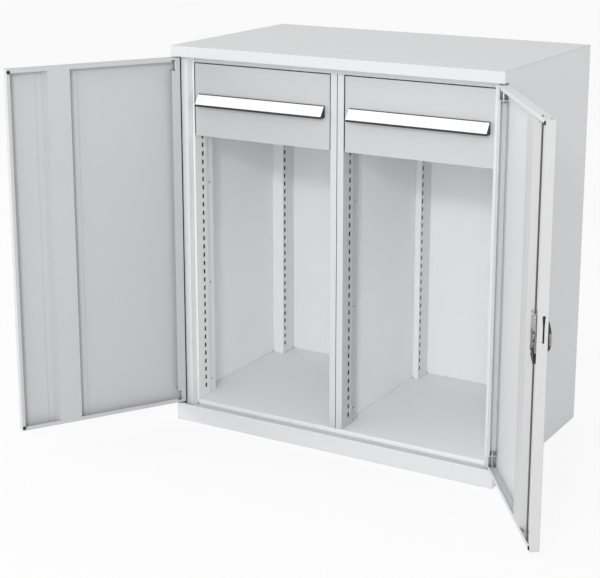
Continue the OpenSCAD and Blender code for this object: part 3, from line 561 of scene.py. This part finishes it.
buffer = new_cylinder("buffer_master", buffer_radius, buffer_rim, sides=40)
raise_top(buffer, buffer_dome)
soften(buffer, width=0.00012)
buffer.data.materials.append(moulded("buffer rubber", shade=0.012, rough=0.7, grain_size=900.0))
left_buffers = set_out(buffer, "buffers_left", [
    left_leaf @ Matrix.Translation((buffer_along, buffer_depth, height)) @ point_inwards
    for height in buffer_heights])
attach(left_buffers, "left_door")
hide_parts("door_left_buffers")
right_buffers = set_out(buffer, "buffers_right", [
    right_leaf @ Matrix.Translation((-buffer_along, buffer_depth, height)) @ point_inwards
    for height in buffer_heights])
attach(right_buffers, "right_door")
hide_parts("door_right_buffers")
bpy.data.objects.remove(buffer)

# ---- Plug in the right leaf's top edge ----
# A small snap-in plug of moulded grey plastic, pushed into the right leaf's top edge near its
# free corner.

plug_radius, plug_rim = 0.003, 0.0004
plug_crown = [(0.0003, 0.0004), (0.0008, 0.0002), (0.0006, -0.0003)]
plug_place = (-0.486, 0.009, 1.066)

plug = new_cylinder("plug_master", plug_radius, plug_rim, sides=32)
raise_top(plug, plug_crown)
soften(plug, width=0.0001)
plug.data.materials.append(moulded("plug grey", shade=0.16, rough=0.5, grain_size=1200.0))
edge_plug = set_out(plug, "edge_plug", [right_leaf @ Matrix.Translation(plug_place)])
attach(edge_plug, "right_door")
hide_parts("door_right_buffers")
bpy.data.objects.remove(plug)

# ---- Lock: knob, plate, key plug and rods ----
# A moulded knob with a metal grip on a plate outside the leaf, a nickel-plated key plug in
# it, and two flat steel rods inside the leaf, which the knob moves up and down. Knob, plate,
# rod guide and the insert in the free edge are of black plastic.

knob_plastic = moulded("knob plastic", shade=0.014, rough=0.38, grain_size=1400.0)
finish_nodes(knob_plastic, "turn_knob", "knob_plate", "rod_guide", "edge_insert")
plug_metal = plated_steel("plug nickel", 0.68, rough=0.25)
finish_nodes(plug_metal, "key_plug")
grip_metal = plated_steel("grip metal", 0.30, rough=0.42)
finish_nodes(grip_metal, "knob_grip")
rod_steel = plated_steel("rod steel", 0.14, rough=0.42)
finish_nodes(rod_steel, "rod_upper", "rod_lower")

# ---- Screws of the lock case ----
# Zinc-plated pan-head screws with a cross recess, two through the case's cover and one
# through the guide of the lower rod.

lock_along = 0.454
lock_height = joints["key_turn"]["pos_m"][2]
screw_depth = 0.018
cover_screw_out, cover_screw_up = 0.015042, 0.047298
guide_screw_out, guide_screw_up = -0.014042, -0.042
shank_radius, shank_length = 0.002, 0.007
head_to_shank, head_rim = 2.0, 0.0007
head_crown = [(0.00035, 0.0004), (0.0008, 0.0002)]
recess_middle = (0.0, 0.0, 0.0086)
recess_size = (0.0045, 0.0009, 0.0024)

screw = new_cylinder("screw_master", shank_radius, shank_length, sides=24)
pick_faces(screw, lambda centre, normal: normal.z > 0.9)
bpy.ops.mesh.extrude_region_move(TRANSFORM_OT_translate={"value": (0.0, 0.0, 0.0)})
bpy.ops.transform.resize(value=(head_to_shank, head_to_shank, 1.0),
                         center_override=(0.0, 0.0, shank_length))
bpy.ops.mesh.extrude_region_move(TRANSFORM_OT_translate={"value": (0.0, 0.0, head_rim)})
raise_top(screw, head_crown)
soften(screw, width=0.0001)
bpy.ops.object.select_all(action="DESELECT")
bpy.ops.mesh.primitive_cube_add(size=1.0, location=recess_middle)
cross = bpy.context.object
cross.scale = recess_size
bpy.ops.object.transform_apply(location=True, rotation=True, scale=True)
bpy.ops.object.mode_set(mode="EDIT")
bpy.ops.mesh.select_all(action="SELECT")
bpy.ops.mesh.duplicate()
bpy.ops.transform.rotate(value=math.radians(90.0), orient_axis="Z", center_override=recess_middle)
bpy.ops.object.mode_set(mode="OBJECT")
screw.select_set(True)
bpy.context.view_layer.objects.active = screw
recess = screw.modifiers.new("cross recess", "BOOLEAN")
recess.operation = "DIFFERENCE"
recess.solver = "EXACT"
recess.use_self = True
recess.object = cross
bpy.ops.object.modifier_apply(modifier=recess.name)
bpy.data.objects.remove(cross)
screw.data.materials.append(zinc)
case_screws = set_out(screw, "case_screw_heads", [
    right_leaf @ Matrix.Translation((-lock_along - out, screw_depth, lock_height + up))
    @ point_inwards @ Matrix.Rotation(math.radians(turned), 4, "Z")
    for out, up, turned in ((-cover_screw_out, cover_screw_up, 20.0),
                            (cover_screw_out, cover_screw_up, 65.0),
                            (guide_screw_out, guide_screw_up, 35.0))])
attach(case_screws, "right_door")
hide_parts("lock_screws")
bpy.data.objects.remove(screw)

# ---- Drawers ----
# Front and tray are folded from steel sheet and coated like the body. The front carries a
# moulded black grip rail with end caps, and a white label strip lies on its slanting face.

drawer_coat = powder_coat("drawer coat", 0.50)
finish_nodes(drawer_coat, "drawer_front_left", "drawer_front_right",
             "drawer_tray_left", "drawer_tray_right")
grip_plastic = moulded("grip plastic", shade=0.012, rough=0.42, grain_size=1200.0)
finish_nodes(grip_plastic, "drawer_handle_left", "drawer_handle_right",
             "handle_caps_left", "handle_caps_right")
label_white, tree, shader = surface("label strip")
place = tree.nodes.new("ShaderNodeTexCoord").outputs["Object"]
fibre = noise(tree, place, 800.0, 2.0)
wire(tree, (blend_colour(tree, fibre, (0.86, 0.86, 0.85, 1.0), (0.9, 0.9, 0.9, 1.0)),
            shader.inputs["Base Color"]),
     (maths(tree, "ADD", maths(tree, "MULTIPLY", fibre, 0.1), 0.2), shader.inputs["Roughness"]))
bump(tree, shader, fibre, 0.00002, 0.2)
finish_nodes(label_white, "label_strip_left", "label_strip_right")

# ---- Floor, light and camera ----
# A plain pale floor and a soft studio: a small high lamp and a wide low one in front, a wide
# one on the left, a faint one overhead, and an even surround that the camera sees as white.

floor_glow = 0.85
surround_light = 0.83
lamps_target = Vector((0.0, 0.0, 0.5))
camera_heading, camera_dip = 30.49, 13.78


def seen_plainly(tree):
    """1 for what the camera sees, also by reflection or through glass, else 0."""
    path = tree.nodes.new("ShaderNodeLightPath")
    return maths(tree, "MAXIMUM", path.outputs["Is Camera Ray"],
                 maths(tree, "MAXIMUM", path.outputs["Is Glossy Ray"],
                       path.outputs["Is Transmission Ray"]))


bpy.ops.object.select_all(action="DESELECT")
bpy.ops.mesh.primitive_plane_add(size=30.0, location=(0.0, 0.0, -0.0005))
ground = bpy.context.object
ground.name = "studio_floor"
pale, tree, shader = surface("studio floor")
shader.inputs["Base Color"].default_value = (0.8, 0.8, 0.8, 1.0)
shader.inputs["Roughness"].default_value = 0.9
glow = tree.nodes.new("ShaderNodeEmission")
glow.inputs["Strength"].default_value = 1.0
mix = tree.nodes.new("ShaderNodeMixShader")
share = maths(tree, "MULTIPLY", seen_plainly(tree), floor_glow)
out = tree.nodes["Material Output"]
wire(tree, (share, mix.inputs[0]), (shader.outputs[0], mix.inputs[1]), (glow.outputs[0], mix.inputs[2]),
     (mix.outputs[0], out.inputs["Surface"]))
ground.data.materials.append(pale)

world = bpy.data.worlds.new("studio")
bpy.context.scene.world = world
world.use_nodes = True
tree = world.node_tree
back = tree.nodes["Background"]
back.inputs["Color"].default_value = (1.0, 1.0, 1.0, 1.0)
seen_white = maths(tree, "MULTIPLY", seen_plainly(tree), 1.0 - surround_light)
wire(tree, (maths(tree, "ADD", seen_white, surround_light), back.inputs["Strength"]))


def lamp(name, place, size, power):
    """A round area lamp that faces the cabinet."""
    data = bpy.data.lights.new(name, "AREA")
    data.shape = "DISK"
    data.size = size
    data.energy = power
    made = bpy.data.objects.new(name, data)
    bpy.context.scene.collection.objects.link(made)
    made.location = place
    made.rotation_euler = (lamps_target - Vector(place)).to_track_quat("-Z", "Y").to_euler()


lamp("key softbox", (1.8, -6.3, 3.5), size=0.8, power=119.0)
lamp("wide front softbox", (2.2, -6.4, 1.6), size=3.0, power=86.0)
lamp("left softbox", (-5.5, -3.0, 1.5), size=3.0, power=120.0)
lamp("overhead softbox", (0.0, -0.5, 4.1), size=3.0, power=8.0)

eye = bpy.data.cameras.new("camera")
camera = bpy.data.objects.new("camera", eye)
bpy.context.scene.collection.objects.link(camera)
bpy.context.scene.camera = camera
camera.location = (1.943, -3.742, 1.641)
camera.rotation_euler = Euler((math.radians(90.0 - camera_dip), 0.0, math.radians(camera_heading)))
eye.sensor_width = 36.0
eye.lens = 91.2
eye.shift_y = -0.12

view = bpy.context.scene.view_settings
view.view_transform = "Standard"
